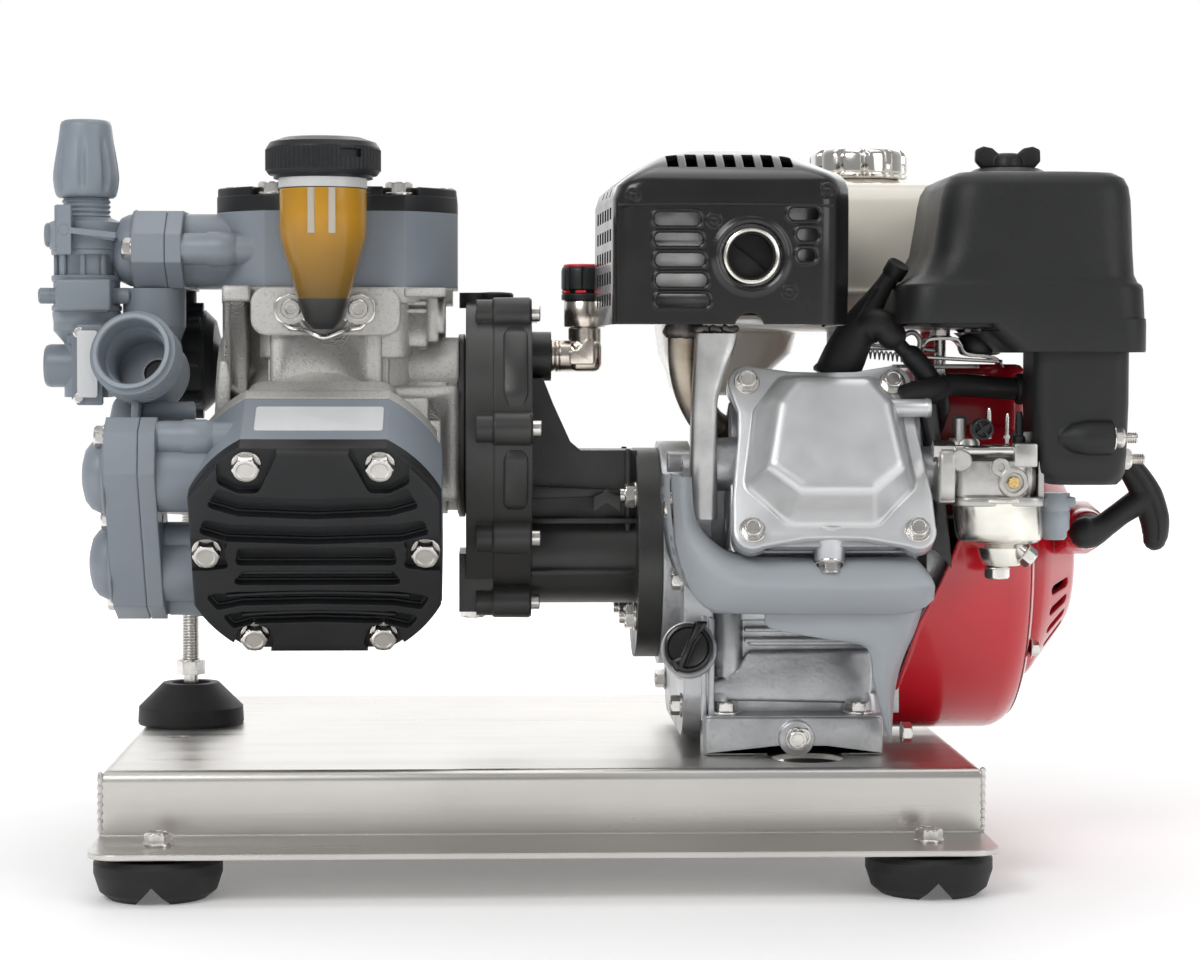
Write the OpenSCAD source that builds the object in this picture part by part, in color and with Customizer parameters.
// Engine-driven two-diaphragm pump on a folded sheet-steel base.
// Pump shaft and engine crankshaft run along X, +Y points to the back, +Z is up, in millimetres.
// The origin is the middle of the unit's footprint, on the floor.

/* [Base plate] */
// Length of the plate along X
plate_w = 480; // [470:1:520]
// Depth of the plate between its two folded walls
plate_d = 350; // [346:1:400]
// Thickness of the sheet
plate_t = 3; // [2:0.5:4]
// Height of the folded front and back walls above the flange
plate_drop = 35; // [30:1:50]
// Width of the flange that stands out in front and behind
flange_w = 60; // [52:1:70]
// Radius of the folded edges
bend_r = 6; // [4.5:0.5:9]
// Height of the rubber feet
foot_h = 24; // [18:1:30]
// Radius of the rubber feet
foot_r = 34; // [28:1:36]

/* [Pump] */
// Distance from the shaft to the deck that a diaphragm head sits on
deck_r = 80; // [78:1:84]
// Thickness of a grey diaphragm head
head_t = 43; // [40:1:48]
// Thickness of a black head cover, without its ribs
cover_t = 9; // [8:1:12]
// Half width of a head along the shaft
head_half = 69; // [66:1:72]
// Angle between the two heads, seen along the shaft
head_angle = 120; // [115:1:122]
// Offset of each head from the pump's middle, along the shaft
head_pitch = 4; // [4:0.1:4.6]
// Throw of the crank pin
crank_throw = 7; // [5:0.5:8]
// Radius of a piston
piston_r = 25; // [22:0.5:27]
// Radius of a valve chamber
chamber_r = 21; // [18:0.5:22]
// Outer radius of the oil cup
cup_r = 24; // [20:0.5:24]
// Outer radius of the threaded suction port
port_r = 23.5; // [20:0.5:25]

/* [Reduction gear] */
// Gear module
gear_module = 1.5;
// Teeth on the pinion
pinion_teeth = 15;
// Teeth on the gear wheel
wheel_teeth = 85;
// Width of the gear teeth
gear_width = 18; // [14:1:19]
// Wall of the gearbox
gearbox_wall = 5; // [4:0.5:7]
// Radius of the flange that meets the engine
flange_r = 62; // [58:1:66]

/* [Engine] */
// Height of the crankshaft above the plate
crank_height = 108; // [106:1:112]
// Spacing of the mounting holes along the shaft
mount_x = 75.5; // [72:0.5:80]
// Spacing of the mounting holes across the shaft
mount_y = 162; // [158:1:166]
// Angle of the cylinder above the horizontal
cylinder_tilt = 25; // [22:1:28]
// Cylinder bore
bore_d = 68; // [60:1:70]
// Stroke of the engine's piston
stroke = 40; // [36:1:42]
// Radius of the red fan housing
fan_r = 104; // [100:1:106]
// Radius of the recoil cover
recoil_r = 80; // [74:1:86]

/* [Hidden] */
$fn = 64;
soft_fn = 28;
// Clearance of a piece that sits in or against another
gap = 0.3;
// Running clearance of a shaft
run = 0.06;

z_plate = foot_h + plate_t + plate_drop;
engine_z = z_plate + crank_height;
gear_centre = gear_module * (pinion_teeth + wheel_teeth) / 2;
pump_z = engine_z + gear_centre;

// The unit is laid out from the plate's middle and then moved by this much along X
unit_mid_x = 34.3;
axis_y = -24;
pump_x = -121;
deck_half_y = 66;

foot_x = plate_w / 2 - 35;
foot_y = plate_d / 2 + flange_w - 31;
bolt_r = 4;
bolt_hole_r = bolt_r + gap;
bolt_af = 13;
bolt_head_h = 5.5;
washer_r = 8.2;
washer_t = 1.6;

// Shared shapes

// Rounded rectangle, centred, as exact arcs
module round_rect(w, h, r) {
    square([w - 2 * r, h], center = true);
    square([w, h - 2 * r], center = true);
    for (x = [-1, 1], y = [-1, 1])
        translate([x * (w / 2 - r), y * (h / 2 - r)]) circle(r);
}

// Upright block with four rounded edges, centred in X and Y
module round_block(w, d, h, r) {
    linear_extrude(h) round_rect(w, d, r);
}

// Block whose edges are all rounded, centred
module pillow(w, d, h, r) {
    hull() for (x = [-1, 1], y = [-1, 1], z = [-1, 1])
        translate([x * (w / 2 - r), y * (d / 2 - r), z * (h / 2 - r)])
            sphere(r, $fn = soft_fn);
}

// Block centred on the origin with rounded upright edges and chamfered top and bottom
module soft_block(w, d, h, r) {
    intersection() {
        translate([0, 0, -h / 2]) round_block(w, d, h, r);
        translate([-w / 2, 0, 0]) along_x(w) round_rect(d, h, r * 0.6);
    }
}

// Cylinder that runs along +X from the origin
module rod_x(r, l) {
    rotate([0, 90, 0]) cylinder(r = r, h = l);
}

// Cylinder that runs along -Y from the origin
module rod_front(r, l) {
    rotate([90, 0, 0]) cylinder(r = r, h = l);
}

// Round bar between two points
module bar(a, b, r1, r2) {
    d = b - a;
    translate(a) rotate([0, acos(d[2] / norm(d)), atan2(d[1], d[0])])
        cylinder(r1 = r1, r2 = r2, h = norm(d));
}

// Ring along +Z
module ring(r_out, r_in, h) {
    difference() {
        cylinder(r = r_out, h = h);
        translate([0, 0, -1]) cylinder(r = r_in, h = h + 2);
    }
}

// Two circles of different size joined by their outer tangents; the second one lies at [0, -d]
module belt_shape(r1, r2, d) {
    a = asin((r1 - r2) / d);
    circle(r1);
    translate([0, -d]) circle(r2);
    polygon([[-r1 * cos(a), -r1 * sin(a)], [r1 * cos(a), -r1 * sin(a)],
        [r2 * cos(a), -d - r2 * sin(a)], [-r2 * cos(a), -d - r2 * sin(a)]]);
}

// Extrudes a shape drawn in (Y, Z) along +X
module along_x(l) {
    rotate([90, 0, 90]) linear_extrude(l) children();
}

// Extrudes a shape drawn in (X, Z) along -Y
module toward_front(l) {
    rotate([90, 0, 0]) linear_extrude(l) children();
}

// Hexagon head on a washer, seated at z = 0, with its shank going down
module hex_bolt(shank, af = bolt_af, head = bolt_head_h, r = bolt_r) {
    cylinder(r = af * 0.63, h = washer_t);
    translate([0, 0, washer_t]) cylinder(d = af / cos(30), h = head, $fn = 6);
    translate([0, 0, -shank]) cylinder(r = r, h = shank + washer_t);
}

// Socket-head screw seated at z = 0
module socket_screw(shank, head_r = 5, head = 6, r = 2.9) {
    difference() {
        cylinder(r = head_r, h = head);
        translate([0, 0, head - 3]) cylinder(r = head_r * 0.55, h = 4, $fn = 6);
    }
    translate([0, 0, -shank]) cylinder(r = r, h = shank + 0.1);
}

// Hexagon nut on a plain bore
module hex_nut(af, h, r) {
    difference() {
        cylinder(d = af / cos(30), h = h, $fn = 6);
        translate([0, 0, -1]) cylinder(r = r + run, h = h + 2);
    }
}

// Positions

// The four corners of the flanges
module at_feet() {
    for (x = [-1, 1], y = [-1, 1]) translate([x * foot_x, y * foot_y, 0]) children();
}

engine_foot_x = 141.5;
engine_foot_h = 22;
module at_engine_mounts() {
    for (x = [-1, 1], y = [-1, 1])
        translate([engine_foot_x + x * mount_x / 2, axis_y - 3 + y * mount_y / 2, z_plate])
            children();
}

// A diaphragm head's own frame: z along the head's axis, x along the shaft
module head_frame(front) {
    translate([pump_x + (front ? -head_pitch : head_pitch), axis_y, pump_z])
        rotate([front ? head_angle : 0, 0, 0]) children();
}

// The cylinder's own frame: z along the engine's cylinder, y up its face
cylinder_x = 157.5;
module cylinder_frame() {
    translate([cylinder_x, axis_y, engine_z]) rotate([90 - cylinder_tilt, 0, 0]) children();
}

module placed() {
    translate([-unit_mid_x, 0, 0]) children();
}

// Base

// Block with folded top edges all round, standing on z = 0
module folded_block(w, d, h, r) {
    intersection() {
        translate([0, d / 2, 0]) toward_front(d) fold_profile(w, h, r);
        translate([-w / 2, 0, 0]) along_x(w) fold_profile(d, h, r);
    }
}

module fold_profile(w, h, r) {
    translate([-w / 2, 0]) square([w, h - r]);
    translate([-w / 2 + r, 0]) square([w - 2 * r, h]);
    for (x = [-1, 1]) translate([x * (w / 2 - r), h - r]) circle(r);
}

drain_hole_r = 20;
drain_hole_x = 148;
drain_hole_y = -133;
side_wall = 27;
leveling_x = -211;
leveling_y = 32;

module flange_sheet(side) {
    corner = 16;
    w = plate_w;
    translate([0, side * (plate_d / 2 + flange_w / 2 - plate_t / 2), foot_h])
        linear_extrude(plate_t) {
            round_rect(w, flange_w + plate_t, corner);
            translate([-w / 2, side > 0 ? -flange_w / 2 - plate_t / 2 : 0])
                square([w, flange_w / 2 + plate_t / 2]);
        }
}

module base_plate() {
    h = plate_drop + plate_t;
    color("silver") difference() {
        union() {
            difference() {
                translate([0, 0, foot_h]) folded_block(plate_w, plate_d, h, bend_r);
                translate([0, 0, foot_h - 1])
                    folded_block(plate_w - 2 * plate_t, plate_d - 2 * plate_t,
                        h - plate_t + 1, bend_r - plate_t);
                // The end walls are shorter than the front and back ones
                translate([-plate_w, -plate_d / 2 + 2 * plate_t, foot_h - 1])
                    cube([2 * plate_w, plate_d - 4 * plate_t, h - side_wall]);
            }
            flange_sheet(-1);
            flange_sheet(1);
        }
        at_feet() translate([0, 0, foot_h - 1]) cylinder(r = bolt_hole_r, h = plate_t + 2);
        at_engine_mounts() translate([0, 0, -plate_t - 1])
            cylinder(r = bolt_hole_r, h = plate_t + 2);
        translate([drain_hole_x, drain_hole_y, z_plate - plate_t - 1])
            cylinder(r = drain_hole_r, h = plate_t + 2);
        translate([leveling_x, -34, z_plate - plate_t - 1]) cylinder(r = 6, h = plate_t + 2);
    }
}

module rubber_feet() {
    top = foot_h;
    notch = 10;
    color("dimgray") at_feet() difference() {
        rotate_extrude() polygon([[0, 0], [foot_r - 8, 0], [foot_r - 3, 4],
            [foot_r, top * 0.55], [foot_r, top - 5], [foot_r - 3, top - 2],
            [foot_r - 12, top - 2], [foot_r - 12, top], [0, top]]);
        translate([0, 0, 7]) cylinder(r = bolt_hole_r, h = top);
        // A V groove across the sole
        rotate([90, 0, 0]) linear_extrude(3 * foot_r, center = true)
            polygon([[-notch, -1], [notch, -1], [0, notch]]);
    }
}

module base_bolts() {
    color("gainsboro") {
        at_feet() translate([0, 0, foot_h + plate_t]) hex_bolt(15);
        at_engine_mounts() {
            translate([0, 0, engine_foot_h]) hex_bolt(engine_foot_h + plate_t + 9);
            translate([0, 0, -plate_t - 6.5]) hex_nut(bolt_af, 6.5, bolt_r);
        }
    }
}

// Levelling foot

leveling_r = 5.5;
pad_h = 25;
lug_z = 190;
lug_h = 15;

module leveling_pad() {
    color("dimgray") translate([leveling_x, leveling_y, z_plate]) difference() {
        rotate_extrude() polygon([[0, 0], [31.5, 0], [32, 1.5], [31.5, 10.5], [17, pad_h],
            [12, pad_h], [10.5, pad_h - 3], [0, pad_h - 3]]);
        translate([0, 0, pad_h - 13]) cylinder(r = leveling_r - 1 + gap, h = 20);
    }
}

module leveling_screw() {
    color("silver") translate([leveling_x, leveling_y, z_plate]) {
        translate([0, 0, pad_h - 13]) cylinder(r = leveling_r - 1, h = 18);
        translate([0, 0, pad_h + 5]) cylinder(d = 15 / cos(30), h = 9, $fn = 6);
        translate([0, 0, pad_h + 14])
            cylinder(r = leveling_r, h = lug_z + lug_h + 14 - z_plate - pad_h - 14);
    }
}

// Pump body

case_left = -186;
case_right = -54;
gearbox_left = -48;
barrel_r = 62;
bearing_r = 26;
shaft_r = 15;
case_cavity_r = 38;
web_t = 9;
rod_w = 2 * head_pitch - 0.6;
web_gap = 1.2;
diaphragm_t = 3;
diaphragm_r = 52;
cup_x = -122;
cup_y = axis_y - deck_half_y - cup_r - 1.6;
cup_screw_dx = 18.8;
cup_screw_z = pump_z + deck_r - 13;
boss_front = axis_y - deck_half_y - 6;
chamber_z = deck_r + head_t / 2;
chamber_dy = 30;

module crankcase_solid() {
    // Shaft housing and its neck to the gearbox
    translate([case_left, axis_y, pump_z]) rod_x(52, case_right - case_left);
    translate([case_right - 1, axis_y, pump_z])
        rod_x(50, gearbox_left - case_right + 1);
    // One barrel and deck flange for each head
    for (front = [false, true]) head_frame(front) {
        cylinder(r = barrel_r, h = deck_r);
        translate([0, 0, deck_r - 9]) linear_extrude(9) deck_outline();
        translate([0, -11, deck_r / 2]) round_block(86, 2 * deck_half_y - 20, deck_r / 2, 12);
    }
    // Boss that carries the oil cup
    translate([cup_x, boss_front, cup_screw_z - 1]) rotate([-90, 0, 0])
        linear_extrude(40) round_rect(84, 27, 9);
    // Bridge between the two barrels, seen under the oil cup
    translate([pump_x - 34, axis_y - 62, pump_z - 12]) cube([68, 70, deck_r + 4]);
    // Mounting rail on the third side, with an arm out to the levelling screw
    translate([case_left + 4, 8, lug_z]) cube([case_right - case_left - 8, 38, 34]);
    hull() for (x = [leveling_x, case_left + 20])
        translate([x, leveling_y, lug_z]) cylinder(r = 14, h = lug_h, $fn = soft_fn);
    for (x = [case_left + 14, case_right - 14])
        translate([x, 27, pump_z - 8]) cube([12, 38, 70], center = true);
}

module deck_outline() {
    intersection() {
        circle(deck_half_y + 11);
        square([2 * head_half - 6, 2 * deck_half_y], center = true);
    }
}

module pump_crankcase() {
    color("lightgray") difference() {
        crankcase_solid();
        // Shaft bore with bearing seats
        translate([case_left + 10, axis_y, pump_z]) rod_x(bearing_r, 200);
        translate([pump_x - 45, axis_y, pump_z]) rod_x(case_cavity_r, 90);
        for (front = [false, true]) head_frame(front) {
            cylinder(r = piston_r + run, h = deck_r + 1);
            at_cover_bolts() translate([0, 0, deck_r - 14])
                cylinder(r = bolt_hole_r, h = 20);
        }
        // Levelling screw, cup screws and the cup's outlet
        translate([leveling_x, leveling_y, lug_z - 1])
            cylinder(r = leveling_r + run, h = lug_h + 2);
        for (s = [-1, 1]) translate([cup_x + s * cup_screw_dx, boss_front + 14, cup_screw_z])
            rod_front(3.3, 20);
        translate([cup_x, boss_front + 12, cup_screw_z - 2]) rod_front(7.3, 20);
    }
}

// Six cover bolts; the pattern is a little taller than wide
module at_cover_bolts() {
    for (x = [-1, 1]) translate([x * (head_half - 9), 0, 0]) children();
    for (x = [-1, 1], y = [-1, 1]) translate([x * 36, y * (deck_half_y - 10), 0]) children();
}

module head_outline() {
    intersection() {
        circle(deck_half_y + 11);
        square([2 * head_half, 2 * deck_half_y], center = true);
    }
}

chamber_l = 38;
chest_x = -head_half - 18;
chest_flange_t = 9;
chest_bolt_y = deck_half_y - 12;

// Grey head with its two valve chambers on the left
module head_part() {
    difference() {
        union() {
            translate([0, 0, deck_r]) linear_extrude(head_t) head_outline();
            for (y = [-1, 1]) translate([chest_x, y * chamber_dy, chamber_z])
                rod_x(chamber_r, chamber_l);
            translate([chest_x, -12, chamber_z]) rod_x(8.5, chamber_l);
            for (y = [-1, 1]) translate([chest_x, y * chest_bolt_y, chamber_z])
                rod_x(8.5, chamber_l + 6);
        }
        // Diaphragm seat and pumping chamber
        translate([0, 0, deck_r - 1]) cylinder(r = diaphragm_r + gap, h = diaphragm_t + 1);
        translate([0, 0, deck_r]) cylinder(r = 44, h = 19);
        // Valve pockets, open to the chest and to the pumping chamber
        for (y = [-1, 1]) translate([chest_x - 1, y * chamber_dy, chamber_z]) {
            rod_x(13, 24);
            translate([0, 0, -6]) rod_x(6, 60);
        }
        at_cover_bolts() translate([0, 0, deck_r - 1]) cylinder(r = bolt_hole_r, h = head_t + 2);
        at_chest_bolts() rod_x(3.3, 12);
    }
}

// Chest bolts, in the head's frame, pointing along +X from the chest's joint
module at_chest_bolts() {
    for (y = [-1:1]) translate([chest_x - 0.5, y * chest_bolt_y, chamber_z]) children();
}

module top_head() {
    color("slategray") head_frame(false) head_part();
}

module front_head() {
    color("slategray") head_frame(true) head_part();
}

rib_h = 5;
module cover_part() {
    z0 = deck_r + head_t;
    difference() {
        union() {
            translate([0, 0, z0]) linear_extrude(cover_t) head_outline();
            // Raised rim and the parallel ribs, kept clear of the bolt seats
            translate([0, 0, z0 + cover_t - 0.1]) difference() {
                linear_extrude(rib_h) intersection() {
                    head_outline();
                    for (y = [-45, -34, -23, -12, -1, 12, 26, 40])
                        translate([0, y]) square([2 * head_half, 5.5], center = true);
                }
                at_cover_bolts() translate([0, 0, -1]) cylinder(r = 13, h = rib_h + 2);
                for (s = [-1, 1]) translate([0, s * (deck_half_y - 8), -1])
                    cylinder(r = 17, h = rib_h + 2);
            }
            translate([0, 0, z0 + cover_t - 0.1]) linear_extrude(rib_h - 1)
                difference() {
                    head_outline();
                    scale(0.93) head_outline();
                    at_cover_bolts() circle(13);
                }
        }
        at_cover_bolts() translate([0, 0, z0 - 1]) cylinder(r = bolt_hole_r, h = 40);
    }
}

module top_cover() {
    color("#26282a") head_frame(false) cover_part();
}

module front_cover() {
    color("#26282a") head_frame(true) cover_part();
}

cap_t = 19;
chest_z0 = chamber_z - 22;
// Long hexagon with a bolt at each pointed end, drawn in (y, z)
module chest_outline() {
    end = chest_bolt_y + 8;
    polygon([[-44, -22], [44, -22], [end, -8], [end, 8], [44, 22], [-44, 22], [-end, 8],
        [-end, -8]]);
}

module chest_part(domes) {
    translate([chest_x, 0, chamber_z]) difference() {
        union() {
            translate([-chest_flange_t - cap_t, 0, 0])
                along_x(chest_flange_t + cap_t) chest_outline();
            // Domed chamber ends
            for (y = domes) translate([-chest_flange_t - cap_t, y * chamber_dy, 0])
                rotate([0, -90, 0]) rotate_extrude()
                    polygon([[0, -1], [15.5, -1], [15.5, 3], [13, 8], [9, 11], [0, 12]]);
        }
        // Parting line between flange and cap
        translate([-chest_flange_t - 0.6, 0, 0]) along_x(0.6) difference() {
            square(200, center = true);
            scale([0.985, 0.965]) chest_outline();
        }
        for (y = [-1, 1]) translate([-chest_flange_t - cap_t + 4, y * chamber_dy, 0])
            rod_x(13, 60);
        for (y = [-1:1]) translate([-60, y * chest_bolt_y, 0]) rod_x(3.3, 61);
    }
}

module top_valve_chest() {
    color("slategray") head_frame(false) difference() {
        chest_part([1]);
        // Ways to the regulator and to the suction manifold
        translate([chest_x - 40, -chamber_dy, chamber_z]) rod_x(8, 30);
        translate([branch_x, -chamber_dy, chamber_z - 40]) cylinder(r = 11, h = 30);
    }
}

module front_valve_chest() {
    color("slategray") difference() {
        head_frame(true) chest_part([-1, 1]);
        branch_lower() translate([0, 0, -10]) cylinder(r = 11, h = 24);
    }
}

// Four check valves: a seat, a poppet and a cage in each chamber
module check_valves() {
    color("ivory") for (front = [false, true], y = [-1, 1]) head_frame(front)
        translate([chest_x + 2, y * chamber_dy, chamber_z]) rotate([0, 90, 0]) {
            ring(12.7, 7, 3);
            translate([0, 0, 3]) cylinder(r = 9, h = 2.4);
            translate([0, 0, 5.4]) cylinder(r = 3, h = 9);
            translate([0, 0, 14.4]) ring(12.7, 5, 2);
            for (a = [0, 120, 240]) rotate(a) translate([10, 0, 2.5]) cylinder(r = 1.8, h = 12.5);
            translate([0, 0, 14.4]) cylinder(r = 5.2, h = 2);
        }
}

// Suction manifold

branch_x = chest_x - chest_flange_t - cap_t / 2;
branch_r = 15;
top_branch = [pump_x + head_pitch + branch_x, axis_y - chamber_dy, pump_z + chest_z0];
elbow_pt = [top_branch[0] + 2, axis_y - 57, pump_z + 29.5];
port_tilt = 18;
port_turn = 10;
port_l = 44;

// Frame of the branch to the lower chest: the origin on the chest's upper edge, z leading out of it
module branch_lower() {
    head_frame(true) translate([branch_x, chamber_dy, chest_z0]) rotate([180, 0, 0])
        children();
}

module suction_manifold() {
    color("slategray") difference() {
        union() {
            // Collar under the upper chest, narrowing to the pipe
            translate(top_branch - [0, 0, 38]) cylinder(r = branch_r, h = 37.98);
            translate(top_branch - [0, 0, 22]) cylinder(r = 18, h = 21.98);
            translate(top_branch - [0, 0, 30]) cylinder(r1 = branch_r, r2 = 18, h = 8.1);
            bar(top_branch - [0, 0, 36], elbow_pt, 16, 17);
            translate(elbow_pt) sphere(20);
            branch_lower() translate([0, 0, 0.02]) cylinder(r = branch_r, h = 44);
            suction_port_frame() suction_port_solid();
        }
        suction_port_frame() translate([0, 0, 6]) cylinder(r = port_r - 4.5, h = port_l + 10);
        translate(top_branch - [0, 0, 36]) cylinder(r = 11, h = 60);
        bar(top_branch - [0, 0, 34], elbow_pt, 11, 11);
        branch_lower() translate([0, 0, -1]) cylinder(r = 11, h = 40);
    }
}

module suction_port_frame() {
    translate(elbow_pt) rotate([90 - port_tilt, 0, -port_turn]) children();
}

// Threaded inlet: a plain neck, then a few parallel thread rings, then a lip
module suction_port_solid() {
    cylinder(r = port_r - 2, h = port_l);
    for (i = [0:4]) translate([0, 0, port_l - 17 + i * 3])
        cylinder(r1 = port_r - 2, r2 = port_r, h = 1.5);
    for (i = [0:4]) translate([0, 0, port_l - 15.5 + i * 3])
        cylinder(r1 = port_r, r2 = port_r - 2, h = 1.5);
}

// Pressure regulator

reg_x = -261;
reg_y = -56;
reg_z = 268;

module reg_at(z) {
    translate([reg_x, reg_y, z]) children();
}

module regulator_body() {
    color("slategray") difference() {
        union() {
            reg_at(pump_z + 119) cylinder(r = 13, h = 12);
            for (i = [0:3]) reg_at(pump_z + 119.5 + i * 2.8) cylinder(r1 = 13, r2 = 14, h = 1.2);
            for (i = [0:3]) reg_at(pump_z + 120.7 + i * 2.8) cylinder(r1 = 14, r2 = 13, h = 1.2);
            reg_at(pump_z + 102) cylinder(r = 21, h = 15);
            reg_at(pump_z + 117) cylinder(r1 = 21, r2 = 14, h = 3);
            reg_at(pump_z + 99) cylinder(r1 = 17, r2 = 21, h = 3);
            // Cross arm behind, to the upper chest's delivery chamber
            translate([reg_x, axis_y - chamber_dy, chamber_z + pump_z])
                rod_x(11, pump_x + head_pitch + chest_x - chest_flange_t - cap_t - 0.02 - reg_x);
            lever_pin(3, 8.4);
            reg_at(pump_z + 86) cylinder(r = 16, h = 14);
            for (a = [0:45:315]) reg_at(pump_z + 86) rotate(a)
                translate([15, -1, 0]) cube([2.5, 2, 12]);
            reg_at(pump_z + 83) cylinder(r = 19.5, h = 3.5);
            reg_at(pump_z + 55) cylinder(r = 19, h = 29);
            translate([reg_x, reg_y - 6, pump_z + 74]) cube([29, 30, 17], center = true);
            translate([reg_x - 21, reg_y - 9, pump_z + 75]) rod_x(4.5, 42);
            reg_at(pump_z + 48) cylinder(r1 = 13, r2 = 19, h = 7.2);
            reg_at(reg_z - 6) cylinder(r = 13, h = pump_z + 49 - reg_z + 6);
            // Outlet stub to the left
            translate([reg_x - 23, reg_y, reg_z + 12]) rod_x(11.5, 24);
            // Plate that carries the data label, with its two screws
            translate([reg_x - 6, reg_y - 21, reg_z - 7]) cube([5, 42, 42]);
            for (y = [-1, 1]) translate([reg_x - 9, reg_y + y * 14, reg_z + 27])
                rod_x(3.4, 4);
            translate([reg_x - 1, reg_y - 16, reg_z - 6]) cube([15, 32, 40]);
        }
        translate([reg_x - 24, reg_y, reg_z + 12]) rod_x(8, 20);
        reg_at(reg_z) cylinder(r = 8, h = pump_z + 140 - reg_z);
    }
}

knob_z = 376;
module regulator_knob() {
    color("slategray") reg_at(pump_z + 131.5) difference() {
        union() {
            rotate_extrude() polygon([[0, 0], [15.5, 0], [17.5, 3], [18, 10], [16.6, 24],
                [15.4, 38], [14.6, 43.5], [12.5, 45], [0, 45]]);
            for (a = [0:45:315]) rotate(a) translate([14.5, 0, 3]) rotate([0, -4, 0])
                cylinder(r1 = 4.6, r2 = 2.6, h = 30);
            translate([0, 0, -13]) cylinder(r = 7.9 - gap, h = 14);
        }
        translate([0, 0, -20]) cylinder(r = 3, h = 30);
    }
}

module bypass_lever() {
    color("slategray") difference() {
        translate([lever_pin_x, reg_y - 21.4, pump_z + 112]) {
            // Upright cam plate at the left and the flat finger blade
            translate([-4, -7, -14]) cube([8, 7, 28]);
            translate([2, -7, -2]) rotate([0, 6, 0]) cube([27, 7, 3.4]);
        }
        lever_pin(3 + run, 30);
    }
}

lever_pin_x = reg_x - 9;
module lever_pin(r, l) {
    translate([lever_pin_x, reg_y - 20.4 + 0.4, pump_z + 112]) rod_front(r, l);
}

damper_x = -224;
damper_y = 0;
damper_z = 283;
damper_r = 30;
module pulsation_damper() {
    color("slategray") translate([damper_x, damper_y, damper_z]) difference() {
        union() {
            rod_x(24, 8);
            translate([8, 0, 0]) rod_x(damper_r, 18);
            for (a = [0:45:315]) rotate([a, 0, 0]) translate([6, 0, damper_r]) rod_x(4.5, 18.5);
            // Neck up to the upper chest's delivery side
            translate([12, 4, 20]) cylinder(r = 8, h = pump_z + chest_z0 - damper_z - 20 - 0.02);
            translate([26, 0, 0]) rotate([0, 90, 0]) rotate_extrude()
                polygon([[0, -1], [damper_r - 1, -1], [damper_r - 1, 1], [24, 6], [14, 8.5],
                    [0, 9]]);
        }
        translate([3, 0, 0]) rod_x(20, 25);
    }
}

// Oil cup

cup_top = cup_screw_z + 72;
module oil_cup() {
    wall = 2;
    z0 = cup_screw_z - 11;
    z1 = cup_top - 31;
    color("orange", 0.5) difference() {
        union() {
            translate([cup_x, cup_y, 0]) rotate_extrude()
                polygon([[0, z0], [5, z0], [10, z0 + 5], [13.5, z0 + 15], [cup_r, z1],
                    [cup_r, cup_top], [0, cup_top]]);
            // Outlet into the crankcase and the clamp ears beside it
            translate([cup_x, boss_front + 8, cup_screw_z - 2]) rod_front(7, boss_front + 2 - cup_y);
            translate([cup_x, boss_front - 0.02, cup_screw_z - 1]) toward_front(6) difference() {
                round_rect(54, 15, 7.4);
                for (s = [-1, 1]) translate([s * cup_screw_dx, 1]) circle(3.3);
            }
        }
        translate([cup_x, cup_y, 0]) rotate_extrude()
            polygon([[0, z0 + 4], [4, z0 + 5], [11.5, z0 + 16], [cup_r - wall, z1 + 0.4],
                [cup_r - wall, cup_top + 1], [0, cup_top + 1]]);
        translate([cup_x, boss_front + 20, cup_screw_z - 2]) rod_front(4.4, boss_front + 17 - cup_y);
    }
}

module oil_cup_cap() {
    color("#1c1d1f") translate([cup_x, cup_y, cup_top + 0.02]) difference() {
        union() {
            rotate_extrude() polygon([[0, 2], [30, 2], [31.5, 4], [31.5, 17], [29.5, 20],
                [22, 22.6], [0, 24]]);
            for (a = [0:5:355]) rotate(a) translate([31.3, 0, 4.5]) cylinder(r = 0.8, h = 11.5);
            ring(27.5, cup_r + gap, 2.1);
            translate([0, 0, -4]) cylinder(r = cup_r - 2 - gap, h = 7);
        }
        // Moulded grip window
        rotate(-58) translate([31, 0, 13]) cube([6, 13, 4.5], center = true);
    }
}

// All bolts and screws of the pump

module pump_bolts() {
    color("gainsboro") {
        for (front = [false, true]) head_frame(front) {
            at_cover_bolts() translate([0, 0, deck_r + head_t + cover_t])
                hex_bolt(head_t + cover_t + 8);
            for (y = [-1:1])
                translate([chest_x - chest_flange_t - cap_t, y * chest_bolt_y, chamber_z])
                    rotate([0, -90, 0]) socketless_bolt(chest_flange_t + cap_t + 9);
        }
        for (s = [-1, 1]) translate([cup_x + s * cup_screw_dx, boss_front - 6.04, cup_screw_z])
            rotate([90, 0, 0]) {
                cylinder(r = 7.6, h = 1.4);
                translate([0, 0, 1.4]) socket_screw(18, 5.6, 6);
            }
    }
}

module socketless_bolt(shank) {
    cylinder(r = 7, h = 1);
    translate([0, 0, 1]) cylinder(d = 11 / cos(30), h = 5, $fn = 6);
    translate([0, 0, -shank]) cylinder(r = 3, h = shank + 1);
}

// Moving pieces of the pump

pin_r = 9;
pin_y = crank_throw * sin(head_angle / 2);
pin_z = crank_throw * cos(head_angle / 2);
wrist_z = 60;
piston_top = deck_r;

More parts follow.
